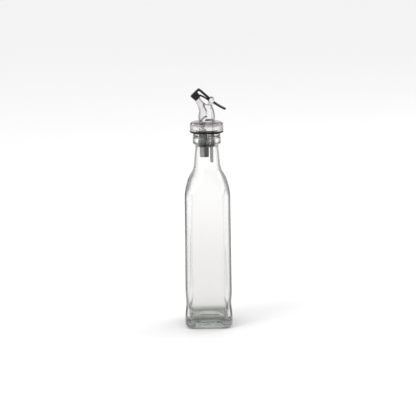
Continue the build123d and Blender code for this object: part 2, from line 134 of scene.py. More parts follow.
class Net:
    """The node tree of one material or of the world."""

    def __init__(self, tree: bpy.types.NodeTree) -> None:
        """Empty the tree.

        Args:
            tree: The tree to build in.
        """
        self.tree = tree
        tree.nodes.clear()

    def node(self, kind: str, settings: dict, inputs: dict, output: Union[int, str] = 0) -> Socket:
        """Add one node, with its settings first and then its sockets.

        Args:
            kind: The node's type.
            settings: Its properties. A ramp's "stops" are places and colours.
            inputs: Values or links, by socket name or number.
            output: The output socket to hand back.

        Returns:
            The chosen output, or the first one.
        """
        made = self.tree.nodes.new(kind)
        for name, value in settings.items():
            if name == "stops":
                self._set_stops(made, value)
            else:
                setattr(made, name, value)
        for name, value in inputs.items():
            if isinstance(value, Socket):
                self.tree.links.new(value.link, made.inputs[name])
            else:
                made.inputs[name].default_value = value
        return Socket(self, made.outputs[output]) if made.outputs else Socket(self, None)

    @staticmethod
    def _set_stops(ramp: bpy.types.Node, stops: Stops) -> None:
        """Give a colour ramp its stops.

        Args:
            ramp: The ramp node.
            stops: Places from 0 to 1, and their colours.
        """
        elements = ramp.color_ramp.elements
        while len(elements) < len(stops):
            elements.new(1.0)
        for element, (place, colour) in zip(elements, stops):
            element.position = place
            element.color = (*colour, 1.0)

    def noise(self, scale: float, detail: float = 2.0, stretch: RGB = (1.0, 1.0, 1.0)) -> Socket:
        """A noise pattern on the piece's own coordinates.

        Args:
            scale: Grains per metre.
            detail: Octaves.
            stretch: Scale along X, Y and Z.

        Returns:
            The pattern, from 0 to 1.
        """
        place = self.node("ShaderNodeTexCoord", {}, {}, "Object")
        mapped = self.node("ShaderNodeMapping", {}, {"Vector": place, "Scale": stretch})
        inputs = {"Vector": mapped, "Scale": scale, "Detail": detail}
        return self.node("ShaderNodeTexNoise", {}, inputs)

    def place(self, axis: str) -> Socket:
        """A piece's own coordinate along one axis, in metres.

        Args:
            axis: X, Y or Z.

        Returns:
            The coordinate.
        """
        spot = self.node("ShaderNodeTexCoord", {}, {}, "Object")
        return self.node("ShaderNodeSeparateXYZ", {}, {"Vector": spot}, axis)

    def mark(self, name: str) -> Socket:
        """A mark that the mesh carries.

        Args:
            name: The mesh attribute's name.

        Returns:
            The mark, from 0 to 1.
        """
        return self.node("ShaderNodeAttribute", {"attribute_name": name}, {}, "Fac")

    def banded(self, height: Socket, stops: Stops) -> Socket:
        """A colour that changes with height.

        Args:
            height: The height in metres.
            stops: Heights in metres, from the lowest up, and their colours.

        Returns:
            The colour.
        """
        top = max(stops[-1][0], MM)
        ramp = [(place / top, colour) for place, colour in stops]
        return self.node("ShaderNodeValToRGB", {"stops": ramp}, {"Fac": height * (1.0 / top)})

    def range(
        self, value: Socket, low: float, high: float, to_low: float, to_high: float
    ) -> Socket:
        """Map a value from one range to another, and clamp it.

        Args:
            value: The value to map.
            low: Where the first range starts.
            high: Where it ends.
            to_low: Where the second range starts.
            to_high: Where it ends.

        Returns:
            The mapped value.
        """
        inputs = {0: value, 1: low, 2: high, 3: to_low, 4: to_high}
        return self.node("ShaderNodeMapRange", {"interpolation_type": "SMOOTHSTEP"}, inputs)

    def mix(self, share: Value, first: Union[Socket, RGB], second: Union[Socket, RGB]) -> Socket:
        """Mix two colours.

        Args:
            share: How much of the second.
            first: The first colour.
            second: The second colour.

        Returns:
            The mixed colour.
        """
        colours = [c if isinstance(c, Socket) else (*c, 1.0) for c in (first, second)]
        inputs = {0: share, 6: colours[0], 7: colours[1]}
        return self.node("ShaderNodeMix", {"data_type": "RGBA"}, inputs, 2)

    def bump(self, height: Socket, strength: float, distance: float) -> Socket:
        """Turn a height into a bumped normal.

        Args:
            height: The height pattern.
            strength: Strength of the bump, from 0 to 1.
            distance: Height of the pattern in metres.

        Returns:
            The normal.
        """
        inputs = {"Height": height, "Strength": strength, "Distance": distance}
        return self.node("ShaderNodeBump", {}, inputs)

    def close(self, inputs: dict, volume: Optional[Socket] = None) -> None:
        """End the tree in one Principled shader.

        Args:
            inputs: Values or links of the shader's sockets.
            volume: What fills the piece, where anything does.
        """
        ends = {"Surface": self.node("ShaderNodeBsdfPrincipled", {}, inputs)}
        if volume is not None:
            ends["Volume"] = volume
        self.node("ShaderNodeOutputMaterial", {}, ends)


def new_material(name: str) -> tuple[bpy.types.Material, Net]:
    """Make an empty node material.

    Args:
        name: The material's name.

    Returns:
        The material and its node tree.
    """
    material = bpy.data.materials.new(name)
    material.use_nodes = True
    return material, Net(material.node_tree)


# ---------------------------------------------------------------- finishes


@dataclass(frozen=True)
class ClearFinish:
    """Clear glass or clear plastic, whose rims look darker than its middle: painted shade at the
    rims, standing in for the dark refractions at its edges.
    """

    name: str
    tints: Stops  # from the foot up, heights in metres
    # rims: colours of the painted shade at the rims, by height, from the foot up
    rims: Stops
    rim_start: float
    rim_full: float
    ior: float
    roughness: float
    depth_tint: RGB
    depth_density: float  # absorption per metre
    wave_scale: float  # waves per metre
    wave_height: float  # in metres
    cornered: bool = False  # the painted rim shade shows only where the mesh marks a corner
    narrow_above: Point2 = (0.0, 0.001)  # heights over which the painted rim shade gets narrower
    narrow_by: float = 0.0
    foot_top: float = 0.0  # the uneven foot ends here, in metres
    foot_wave_scale: float = 0.0
    foot_wave_height: float = 0.0
    foot_roughness: float = 0.0  # of the face that it stands on
    foot_face: Point2 = (0.0001, 0.0006)  # heights over which that face ends
    wave_stretch: RGB = (1.0, 1.0, 0.35)
    foot_wave_stretch: RGB = (1.0, 1.0, 2.5)
    painted_shade_bands: Stops = ()  # heights of painted dark bands of shade on the outside: white is full, black is none
    painted_band_shade: RGB = (1.0, 1.0, 1.0)
    cavity_rim_shade: Optional[RGB] = None  # painted shade at the rims of a cavity's side, where the mesh marks one
    cavity_rim_start: float = 0.5
    cavity_rim_full: float = 0.85

    def make(self) -> bpy.types.Material:
        """Build the material.

        Returns:
            The finished material.
        """
        material, net = new_material(self.name)
        height = net.place("Z")
        # painted shade: the colour darkens towards the rims as they turn away from the view
        facing = net.node("ShaderNodeLayerWeight", {}, {"Blend": 0.5}, "Facing")
        narrowed = facing - net.range(height, *self.narrow_above, 0.0, self.narrow_by)
        painted_rim_shade_share = net.range(narrowed, self.rim_start, self.rim_full, 0.0, 1.0)
        if self.cornered:
            painted_rim_shade_share = painted_rim_shade_share * net.mark(CORNER_MARK)
        tint = net.banded(height, self.tints)
        colour = net.mix(painted_rim_shade_share, tint, net.banded(height, self.rims))
        # painted shade: dark bands at the given heights
        if self.painted_shade_bands:
            colour = net.mix(net.banded(height, self.painted_shade_bands), colour, self.painted_band_shade)
        # painted shade on the cavity's side, at its turned rims
        if self.cavity_rim_shade:
            share = net.range(facing, self.cavity_rim_start, self.cavity_rim_full, 0.0, 1.0)
            skin = net.mix(share * net.mark(CORNER_MARK), tint, self.cavity_rim_shade)
            colour = net.mix(net.mark(CAVITY_MARK), colour, skin)
        relief = net.noise(self.wave_scale, 1.0, self.wave_stretch) * self.wave_height
        roughness: Value = self.roughness
        if self.foot_top:
            foot = net.range(height, self.foot_top / 2, self.foot_top, self.foot_wave_height, 0.0)
            waves = net.noise(self.foot_wave_scale, 2.0, self.foot_wave_stretch)
            relief = relief + waves * foot
            roughness = net.range(height, *self.foot_face, self.foot_roughness, self.roughness)
        depth = {"Color": (*self.depth_tint, 1.0), "Density": self.depth_density}
        inputs = {
            "Base Color": colour,
            "Roughness": roughness,
            "IOR": self.ior,
            "Transmission Weight": 1.0,
            "Normal": net.bump(relief, 1.0, 1.0),
        }
        net.close(inputs, net.node("ShaderNodeVolumeAbsorption", {}, depth))
        return material


@dataclass(frozen=True)
class MouldedFinish:
    """Moulded plastic or rubber, with a fine grain and slightly uneven gloss."""

    name: str
    colour: RGB
    worn: RGB
    roughness: float
    roughness_spread: float
    grain_scale: float
    grain_height: float
    specular: float = 0.5
    painted_shade_side: Optional[Point2] = None  # where the painted shaded side starts and is full, along X in metres; the rest keeps the lighter colour as a painted highlight
    painted_shade_side_colour: RGB = (0.008, 0.008, 0.008)

    def make(self) -> bpy.types.Material:
        """Build the material.

        Returns:
            The finished material.
        """
        material, net = new_material(self.name)
        clouds = net.noise(self.grain_scale / 12.0, 3.0)
        grain = net.noise(self.grain_scale, 2.0)
        colour = net.mix(net.range(clouds, 0.45, 0.75, 0.0, 1.0), self.colour, self.worn)
        # painted light: lighter on -X as a painted highlight, dark on +X as painted shade
        if self.painted_shade_side:
            share = net.range(net.place("X"), *self.painted_shade_side, 0.0, 1.0)
            colour = net.mix(share, colour, self.painted_shade_side_colour)
        low = self.roughness - self.roughness_spread
        high = self.roughness + self.roughness_spread
        inputs = {
            "Base Color": colour,
            "Roughness": net.range(clouds, 0.3, 0.7, low, high),
            "Specular IOR Level": self.specular,
            "Normal": net.bump(grain, 0.6, self.grain_height),
        }
        net.close(inputs)
        return material


@dataclass(frozen=True)
class MilkyFinish:
    """Milky translucent plastic."""

    name: str
    colour: RGB
    roughness: float
    clearness: float
    cloud_scale: float = 260.0
    cloud_height: float = 0.00003
    cloud_shade: float = 0.86

    def make(self) -> bpy.types.Material:
        """Build the material.

        Returns:
            The finished material.
        """
        material, net = new_material(self.name)
        clouds = net.noise(self.cloud_scale)
        shade = tuple(self.cloud_shade * part for part in self.colour)
        inputs = {
            "Base Color": net.mix(clouds, self.colour, shade),
            "Roughness": self.roughness,
            "IOR": 1.5,
            "Transmission Weight": self.clearness,
            "Normal": net.bump(clouds, 0.5, self.cloud_height),
        }
        net.close(inputs)
        return material


@dataclass(frozen=True)
class SteelFinish:
    """Turned or drawn steel."""

    name: str
    colour: RGB
    roughness: float
    line_scale: float
    line_stretch: RGB
    line_height: float = 0.00001
    line_shade: float = 0.8
    roughness_spread: float = 0.08

    def make(self) -> bpy.types.Material:
        """Build the material.

        Returns:
            The finished material.
        """
        material, net = new_material(self.name)
        lines = net.noise(self.line_scale, 2.0, self.line_stretch)
        shade = tuple(self.line_shade * part for part in self.colour)
        low = self.roughness - self.roughness_spread
        high = self.roughness + self.roughness_spread
        inputs = {
            "Base Color": net.mix(lines, self.colour, shade),
            "Metallic": 1.0,
            "Roughness": net.range(lines, 0.3, 0.7, low, high),
            "Normal": net.bump(lines, 0.3, self.line_height),
        }
        net.close(inputs)
        return material


@dataclass(frozen=True)
class Finishes:
    """Every finish of the bottle and its pourer, made once."""

    glass: bpy.types.Material
    clear_plastic: bpy.types.Material
    soft_plastic: bpy.types.Material
    milky_plastic: bpy.types.Material
    black_plastic: bpy.types.Material
    smoky_plastic: bpy.types.Material
    washer_rubber: bpy.types.Material
    pad_rubber: bpy.types.Material
    pin_steel: bpy.types.Material
    spring_steel: bpy.types.Material

    @classmethod
    def make(cls) -> "Finishes":
        """Make all the materials.

        Returns:
            The set of finishes.
        """
        glass = ClearFinish(
            name="bottle_glass",
            # darker and greener towards the foot: the green of thick glass, and painted shade of
            # the thick base over the floor; lighter towards the neck
            tints=(
                (0.000, (0.440, 0.475, 0.440)),
                (0.009, (0.560, 0.595, 0.555)),
                (0.015, (0.800, 0.810, 0.790)),
                (0.022, (0.865, 0.858, 0.847)),
                (0.080, (0.885, 0.879, 0.870)),
                (0.150, (0.965, 0.963, 0.958)),
                (0.190, (0.990, 0.990, 0.988)),
            ),
            # painted shade at the glass's rims, by height
            rims=(
                (0.000, (0.160, 0.175, 0.160)),
                (0.010, (0.260, 0.280, 0.260)),
                (0.022, (0.075, 0.080, 0.074)),
                (0.150, (0.090, 0.092, 0.090)),
                (0.200, (0.160, 0.160, 0.160)),
            ),
            rim_start=0.20,
            rim_full=0.40,
            cornered=True,
            narrow_above=(0.150, 0.180),
            narrow_by=0.13,
            foot_top=0.016,
            foot_wave_scale=170.0,
            foot_wave_height=0.0009,
            foot_roughness=0.3,
            # painted shade below the bead, in the groove under the lip, and at the top of the lip
            painted_shade_bands=(
                (0.2052, BLACK),
                (0.2066, WHITE),
                (0.2092, WHITE),
                (0.2102, BLACK),
                (0.2150, BLACK),
                (0.2158, HALF),
                (0.2166, BLACK),
                (0.2192, BLACK),
                (0.2208, HALF),
            ),
            painted_band_shade=(0.06, 0.058, 0.055),
            # colour of the painted shade on the cavity's rims
            cavity_rim_shade=(0.48, 0.49, 0.47),
            cavity_rim_start=0.45,
            ior=1.5,
            roughness=0.0,
            depth_tint=(0.80, 0.84, 0.80),
            depth_density=8.0,
            wave_scale=45.0,
            wave_height=0.0004,
        )
        clear_plastic = ClearFinish(
            name="clear_plastic",
            tints=((0.2236, (0.950, 0.935, 0.940)), (0.2335, (0.885, 0.865, 0.870))),
            # painted shade at the rims of the clear plastic
            rims=((0.2236, (0.16, 0.15, 0.155)), (0.2335, (0.085, 0.078, 0.08))),
            rim_start=0.22,
            rim_full=0.60,
            # painted shade bands on the collar
            painted_shade_bands=(
                (0.2232, WHITE),
                (0.2238, BLACK),
                (0.2276, BLACK),
                (0.2296, WHITE),
                (0.2332, WHITE),
                (0.2350, BLACK),
            ),
            painted_band_shade=(0.23, 0.215, 0.22),
            ior=1.45,
            roughness=0.03,
            depth_tint=(0.86, 0.82, 0.84),
            depth_density=10.0,
            wave_scale=90.0,
            wave_height=0.0001,
        )
        soft_plastic = ClearFinish(
            name="soft_clear_plastic",
            tints=((0.2050, (0.66, 0.635, 0.60)), (0.2200, (0.80, 0.785, 0.76))),
            # painted shade at the rims of the soft plastic
            rims=((0.2050, (0.07, 0.066, 0.06)), (0.2200, (0.12, 0.115, 0.105))),
            rim_start=0.25,
            rim_full=0.8,
            ior=1.42,
            roughness=0.05,
            depth_tint=(0.8, 0.79, 0.77),
            depth_density=30.0,
            wave_scale=160.0,
            wave_height=0.0001,
        )
        milky = MilkyFinish("translucent_plastic", (0.74, 0.74, 0.72), 0.35, 0.55)
        black = MouldedFinish(
            name="black_plastic",
            colour=(0.006, 0.006, 0.006),
            worn=(0.012, 0.0115, 0.011),
            roughness=0.22,
            roughness_spread=0.06,
            grain_scale=2400.0,
            grain_height=0.000012,
            specular=0.22,
        )
        # the black pour tube, painted grey-brown as a highlight on its -X side and dark as shade on
        # its +X side
        smoky = MouldedFinish(
            name="sheen_painted_tube_plastic",
            colour=(0.36, 0.335, 0.30),
            worn=(0.42, 0.39, 0.35),
            roughness=0.3,
            roughness_spread=0.06,
            grain_scale=1800.0,
            grain_height=0.00001,
            specular=0.2,
            painted_shade_side=(-0.0034, -0.0022),
        )
        washer = MouldedFinish(
            name="black_rubber",
            colour=(0.006, 0.005, 0.004),
            worn=(0.012, 0.010, 0.008),
            roughness=0.5,
            roughness_spread=0.1,
            grain_scale=3000.0,
            grain_height=0.00002,
            specular=0.15,
        )
        pad = MouldedFinish(
            name="pad_rubber",
            colour=(0.05, 0.05, 0.05),
            worn=(0.075, 0.073, 0.07),
            roughness=0.7,
            roughness_spread=0.08,
            grain_scale=3200.0,
            grain_height=0.00003,
            specular=0.3,
        )
        pin = SteelFinish("pin_steel", (0.86, 0.86, 0.87), 0.34, 900.0, (1.0, 0.2, 1.0))
        spring = SteelFinish("spring_steel", (0.62, 0.62, 0.64), 0.25, 1500.0, (1.0, 1.0, 1.0))
        return cls(
            glass=glass.make(),
            clear_plastic=clear_plastic.make(),
            soft_plastic=soft_plastic.make(),
            milky_plastic=milky.make(),
            black_plastic=black.make(),
            smoky_plastic=smoky.make(),
            washer_rubber=washer.make(),
            pad_rubber=pad.make(),
            pin_steel=pin.make(),
            spring_steel=spring.make(),
        )


# ---------------------------------------------------------------- mesh helpers


def lean_point(origin: Point2, lean: float, across: float, up: float) -> Point2:
    """A point of the XZ plane, in axes that lean towards -X.

    Args:
        origin: Where the axes start.
        lean: How far they lean, in degrees.
        across: Distance along the leaning X axis.
        up: Distance along the leaning Z axis.

    Returns:
        The point's x and z.
    """
    turn = radians(lean)
    x = origin[0] + across * cos(turn) - up * sin(turn)
    z = origin[1] + across * sin(turn) + up * cos(turn)
    return (x, z)


def meet(start_a: Point2, toward_a: Point2, start_b: Point2, toward_b: Point2) -> Point2:
    """Where two lines of the XZ plane meet.

    Args:
        start_a: A point of the first line.
        toward_a: Another point of it.
        start_b: A point of the second line.
        toward_b: Another point of it.

    Returns:
        The meeting point.
    """
    ax, az = toward_a[0] - start_a[0], toward_a[1] - start_a[1]
    bx, bz = toward_b[0] - start_b[0], toward_b[1] - start_b[1]
    gap_x, gap_z = start_b[0] - start_a[0], start_b[1] - start_a[1]
    share = (gap_x * bz - gap_z * bx) / (ax * bz - az * bx)
    return (start_a[0] + share * ax, start_a[1] + share * az)


def eased(outline: Sequence[Corner], steps: int = 6) -> list[Point2]:
    """Round the corners of an open outline.

    Args:
        outline: Corners, each with the radius that rounds it.
        steps: Points per rounded corner.

    Returns:
        The outline's points.
    """
    points: list[Point2] = []
    for index, (x, z, radius) in enumerate(outline):
        if radius <= 0 or index in (0, len(outline) - 1):
            points.append((x, z))
            continue
        here = Vector((x, z))
        back = (Vector(outline[index - 1][:2]) - here).normalized()
        ahead = (Vector(outline[index + 1][:2]) - here).normalized()
        half = acos(max(-1.0, min(1.0, back.dot(ahead)))) / 2
        middle = here + (back + ahead).normalized() * (radius / sin(half))
        start = here + back * (radius / tan(half)) - middle
        swing = start.angle_signed(here + ahead * (radius / tan(half)) - middle)
        for step in range(steps + 1):
            turned = start.copy()
            turned.rotate(Matrix.Rotation(-swing * step / steps, 2))
            points.append((middle.x + turned.x, middle.y + turned.y))
    return points


def profile_slopes(places: Sequence[float], values: Sequence[float]) -> list[float]:
    """Slopes that take a curve through its stations with no overshoot.

    Args:
        places: Where the stations lie.
        values: The curve's values there.

    Returns:
        The slope at each station.
    """
    spans = [after - before for before, after in zip(places, places[1:])]
    rates = [(values[i + 1] - values[i]) / span for i, span in enumerate(spans)]
    slopes = [rates[0]]
    for index in range(1, len(rates)):
        before, after = rates[index - 1], rates[index]
        if before * after <= 0:
            slopes.append(0.0)
            continue
        near = 2 * spans[index] + spans[index - 1]
        far = spans[index] + 2 * spans[index - 1]
        slopes.append((near + far) / (near / before + far / after))
    return slopes + [rates[-1]]


def smooth_profile(stations: Sequence[Row], per_span: int) -> list[Row]:
    """A smooth profile through stations.

    Args:
        stations: Rows of height, width and corner radius, in order of height.
        per_span: Rows per span.

    Returns:
        Rows on the profile, the stations among them.
    """
    heights = [row[0] for row in stations]
    columns = list(zip(*stations))[1:]
    slopes = [profile_slopes(heights, column) for column in columns]
    rows: list[Row] = []
    for index in range(len(stations) - 1):
        span = heights[index + 1] - heights[index]
        for step in range(per_span):
            t = step / per_span
            row = [heights[index] + span * t]
            for column, slope in zip(columns, slopes):
                start = column[index] * (1 + 2 * t) * (1 - t) ** 2
                end = column[index + 1] * t**2 * (3 - 2 * t)
                lead = span * slope[index] * t * (1 - t) ** 2
                trail = span * slope[index + 1] * t**2 * (1 - t)
                row.append(start + end + lead - trail)
            rows.append(tuple(row))
    return rows + [tuple(stations[-1])]


def rounded_square(width: float, corner: float, height: float, count: int) -> list[Vector]:
    """An even ring round a square with rounded corners.

    Args:
        width: Width across the flats.
        corner: Corner radius; half the width gives a circle.
        height: The ring's height.
        count: Points in the ring, a multiple of eight.

    Returns:
        The ring's points, from the middle of the +X side.
    """
    corner = min(corner, width / 2)
    flat = width / 2 - corner
    eighth = flat + corner * pi / 4
    ring = []
    for index in range(count):
        quarter, place = divmod(index * 8.0 / count, 2.0)
        along = place * eighth
        if along <= flat:
            x, y = width / 2, along
        elif along <= flat + corner * pi / 2:
            angle = (along - flat) / corner if corner else 0.0
            x, y = flat + corner * cos(angle), flat + corner * sin(angle)
        else:
            x, y = 2 * eighth - along, width / 2
        point = Vector((x, y, height))
        point.rotate(Matrix.Rotation(quarter * pi / 2, 3, "Z"))
        ring.append(point)
    return ring


def corner_share(point: Vector, flat: float, fade: float) -> float:
    """How far a point of a rounded square has turned its corner.

    Args:
        point: The point.
        flat: Half of the flat's length.
        fade: Length over which the share rises, at the end of the flat.

    Returns:
        The share, 0 on the flat and 1 on the corner.
    """
    along = min(abs(point.x), abs(point.y))
    share = max(0.0, min(1.0, (along - flat + fade) / fade))
    return share * share * (3 - 2 * share)


def circle(
    middle: Vector, across: Vector, up: Vector, radius: float, count: int
) -> list[Vector]:
    """An even circle in a plane.

    Args:
        middle: Its middle.
        across: The plane's first axis, where the circle starts.
        up: The plane's second axis.
        radius: Its radius.
        count: Points in the circle.

    Returns:
        The circle's points.
    """
    turns = [2 * pi * step / count for step in range(count)]
    return [middle + across * (radius * cos(a)) + up * (radius * sin(a)) for a in turns]


def mesh_object(
    name: str, maker: bmesh.types.BMesh, material: bpy.types.Material
) -> bpy.types.Object:
    """Turn a mesh in millimetres into a smooth-shaded piece in metres.

    Args:
        name: The piece's name.
        maker: The mesh, which is freed.
        material: Its finish.

    Returns:
        The new piece.
    """
    bmesh.ops.scale(maker, vec=(MM, MM, MM), verts=maker.verts)
    bmesh.ops.recalc_face_normals(maker, faces=maker.faces)
    mesh = bpy.data.meshes.new(name)
    maker.to_mesh(mesh)
    maker.free()
    mesh.materials.append(material)
    mesh.shade_smooth()
    piece = bpy.data.objects.new(name, mesh)
    bpy.context.scene.collection.objects.link(piece)
    return piece


def ring_stack(rings: Sequence[Sequence[Vector]], closed: bool = False) -> bmesh.types.BMesh:
    """Join rings of equal size into one skin.

    Args:
        rings: The rings in order. A ring of one point closes an end.
        closed: Whether the last ring joins the first.

    Returns:
        The skin as a new mesh.
    """
    maker = bmesh.new()
    made = [[maker.verts.new(point) for point in ring] for ring in rings]
    pairs = list(zip(made, made[1:])) + ([(made[-1], made[0])] if closed else [])
    for lower, upper in pairs:
        count = max(len(lower), len(upper))
        for index in range(count):
            after = (index + 1) % count
            if len(lower) == 1:
                maker.faces.new((lower[0], upper[index], upper[after]))
            elif len(upper) == 1:
                maker.faces.new((lower[index], lower[after], upper[0]))
            else:
                maker.faces.new((lower[index], lower[after], upper[after], upper[index]))
    return maker


def sharpen(piece: bpy.types.Object, angle: float) -> None:
    """Keep edges sharper than an angle crisp in the shading.

    Args:
        piece: The piece to shade.
        angle: The angle in degrees.
    """
    mesh = piece.data
    maker = bmesh.new()
    maker.from_mesh(mesh)
    for edge in maker.edges:
        if len(edge.link_faces) == 2 and edge.calc_face_angle() > radians(angle):
            edge.smooth = False
    maker.to_mesh(mesh)
    maker.free()


def slab(outline: Sequence[Point2], low: float, high: float, round_off: float) -> bmesh.types.BMesh:
    """A side view in the XZ plane given a thickness along Y, with rounded edges.

    Args:
        outline: The side view's corners, in order.
        low: Where it starts along Y.
        high: Where it ends.
        round_off: Radius of the rounded edges.

    Returns:
        The slab as a new mesh.
    """
    maker = bmesh.new()
    near = [maker.verts.new((x, low, z)) for x, z in outline]
    face = maker.faces.new(near)
    pushed = bmesh.ops.extrude_face_region(maker, geom=[face])
    far = [v for v in pushed["geom"] if isinstance(v, bmesh.types.BMVert)]
    bmesh.ops.translate(maker, vec=(0, high - low, 0), verts=far)
    rims = [e for e in maker.edges if abs(e.verts[0].co.y - e.verts[1].co.y) < 1e-6]
    bmesh.ops.bevel(maker, geom=rims, offset=round_off, segments=3, profile=0.5, affect="EDGES")
    return maker


def tube_along(
    points: Sequence[Vector], radius: Callable[[int], float], sides: int = 14
) -> bmesh.types.BMesh:
    """A round wire along a line.

    Args:
        points: The wire's middle line.
        radius: The wire's radius at each point.
        sides: Points round the wire.

    Returns:
        The wire as a new mesh, closed at both ends.
    """
    rings: list[list[Vector]] = [[points[0]]]
    side = Vector((0.0, 1.0, 0.0))
    for index, point in enumerate(points):
        ahead = points[min(index + 1, len(points) - 1)] - points[max(index - 1, 0)]
        ahead.normalize()
        side = (side - ahead * side.dot(ahead)).normalized()
        rings.append(circle(point, side, ahead.cross(side), radius(index), sides))
    rings.append([points[-1]])
    return ring_stack(rings)


def place(piece: bpy.types.Object, body: Body, slot: Slot, *nodes: str) -> bpy.types.Object:
    """Hang a piece on its body, and say which CAD nodes it stands for.

    Args:
        piece: The piece.
        body: The body that it moves with.
        slot: Not used.
        nodes: CAD nodes that it replaces.

    Returns:
        The same piece.
    """
    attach(piece, body.value)
    if nodes:
        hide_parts(*nodes)
    log.info("%s: %d faces, rides on %s", piece.name, len(piece.data.polygons), body.value)
    return piece


def fit(
    name: str,
    maker: bmesh.types.BMesh,
    material: bpy.types.Material,
    crisp: float,
    body: Body,
    slot: Slot,
    *nodes: str,
) -> None:
    """Make a piece with crisp edges, and hang it on its body.

    Args:
        name: The piece's name.
        maker: Its mesh in millimetres.
        material: Its finish.
        crisp: Edges sharper than this many degrees stay crisp.
        body: The body that it moves with.
        slot: The record's slot for its finish.
        nodes: CAD nodes that it replaces.
    """
    piece = mesh_object(name, maker, material)
    sharpen(piece, crisp)
    place(piece, body, slot, *nodes)


def dress(node: str, material: bpy.types.Material) -> None:
    """Give a CAD node that stays its finish.

    Args:
        node: The CAD node's name.
        material: The finish.
    """
    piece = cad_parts[node]
    for slot in piece.material_slots:
        slot.material = material
    log.info("%s: CAD node kept, finish %s", node, material.name)


# ---------------------------------------------------------------- the bottle


@dataclass
class GlassBottle:
    """The pressed glass body, with its inside and its push-up."""

    body_width: float = 51.0
    foot_width: float = 52.4
    waist_width: float = 50.8
    heel_width: float = 53.6
    body_corner: float = 9.0
    cavity_corner: float = 7.8
    heel_radius: float = 5.5
    heel_height: float = 10.0
    waist_height: float = 28.0
    foot_height: float = 44.0
    shoulder_base: float = 150.0
    neck_base: float = 187.0
    wall: float = 3.2
    floor: float = 8.5
    inner_heel: float = 5.0
    push_up_radius: float = 18.0
    push_up_depth: float = 2.4
    neck_foot_radius: float = 14.6
    neck_radius: float = 13.0
    bore_radius: float = 10.0
    bead_radius: float = 15.8
    lip_radius: float = 15.3
    lip_height: float = 221.0
    neck_low: float = 202.5  # the straight part of the neck
    neck_high: float = 206.5
    bead_low: float = 209.0
    bead_high: float = 215.4
    groove_height: float = 215.9  # between the bead and the lip
    lip_low: float = 216.4
    flare_height: float = 194.0  # the bore widens below
    flare: float = 0.8
    rim_draw: float = 0.35  # how far the rounded rim reaches into the bore
    true_above: float = 190.0  # the inside is true from here up
    mark_fade: float = 3.0  # length over which the corner mark rises
    ring_points: int = 192
    wave: float = 0.09  # how far the inside wanders from true

    def _shoulder(self, inside: bool) -> list[Row]:
        """The shoulder's stations.

        Args:
            inside: Whether to give the cavity's.

        Returns:
            Rows of height, width and corner radius.
        """
        inset = 2 * self.wall if inside else 0.0
        corner = self.cavity_corner if inside else self.body_corner
        rise_total = self.neck_base - self.shoulder_base - (1.5 if inside else 0.0)
        shares = (
            (0.00, 1.000, 0.00),
            (0.08, 0.994, 0.04),
            (0.20, 0.940, 0.20),
            (0.34, 0.820, 0.45),
            (0.48, 0.675, 0.70),
            (0.60, 0.490, 0.87),
            (0.71, 0.270, 0.96),
            (0.82, 0.090, 0.99),
            (1.00, 0.000, 1.00),
        )
        neck = 2 * self.neck_foot_radius
        rows = []
        for rise, spread, round_share in shares:
            width = neck + spread * (self.body_width - neck) - inset
            rounded = corner + round_share * (width / 2 - corner)
            rows.append((self.shoulder_base + rise * rise_total, width, rounded))
        return rows

    def outside(self) -> list[Row]:
        """The outside from the edge of the push-up to the lip.

        Returns:
            Rows of height, width and corner radius.
        """
        rows = [(0.0, 2 * self.push_up_radius, self.push_up_radius)]
        for step in range(ARC_STEPS + 1):
            angle = radians(90.0 * step / ARC_STEPS)
            width = self.heel_width - 2 * self.heel_radius * (1 - sin(angle))
            height = self.heel_radius * (1 - cos(angle))
            corner = self.body_corner - self.heel_radius * (1 - sin(angle))
            rows.append((height, width, corner))
        heel_end = self.heel_height + 0.35 * (self.waist_height - self.heel_height)
        waist = (
            (self.heel_height, self.heel_width),
            (heel_end, self.heel_width - 0.5),
            (self.waist_height, self.waist_width),
            ((self.waist_height + self.foot_height) / 2, self.foot_width - 0.5),
            (self.foot_height, self.foot_width),
            (self.foot_height + 30.0, self.foot_width - 0.4),
            (self.shoulder_base - 30.0, self.body_width + 0.4),
        )
        stations = [(z, w, self.body_corner) for z, w in waist] + self._shoulder(False)
        rows += [(z, min(w, self.heel_width), c) for z, w, c in smooth_profile(stations, 6)]
        neck = eased(
            (
                (self.neck_foot_radius, self.neck_base, 0.0),
                (self.neck_radius, self.neck_low, 1.5),
                (self.neck_radius, self.neck_high, 1.5),
                (self.bead_radius, self.bead_low, 1.3),
                (self.bead_radius, self.bead_high, 1.2),
                (self.lip_radius - 0.9, self.groove_height, 0.25),
                (self.lip_radius, self.lip_low, 1.2),
                (self.lip_radius, self.lip_height, 1.2),
                (self.bore_radius + 1.0, self.lip_height, 0.0),
            )
        )
        rows += [(z, 2 * r, r) for r, z in neck[1:]]
        return rows

    def inside(self) -> list[Row]:
        """The inside from the lip down to the flat of the floor.

        Returns:
            Rows of height, width and corner radius.
        """
        bore = (
            (self.lip_height - self.rim_draw, self.bore_radius + self.rim_draw),
            (self.lip_height - 1.2, self.bore_radius),
            (self.lip_height - 9.0, self.bore_radius),
            (self.neck_low, self.bore_radius),
            (self.flare_height, self.bore_radius + self.flare),
        )
        rows = [(height, 2 * radius, radius) for height, radius in bore]
        foot = self.foot_width - 2 * self.wall
        stations = [(self.floor + self.inner_heel, foot, self.cavity_corner)]
        stations += [(self.foot_height, foot, self.cavity_corner)]
        stations += self._shoulder(True)
        rows += list(reversed(smooth_profile(stations, 8)))
        for step in range(1, ARC_STEPS + 1):
            angle = radians(90.0 * step / ARC_STEPS)
            width = foot - 2 * self.inner_heel * (1 - cos(angle))
            height = self.floor + self.inner_heel * (1 - sin(angle))
            corner = self.cavity_corner - self.inner_heel * (1 - cos(angle)) * 0.6
            rows.append((height, width, corner))
        return rows

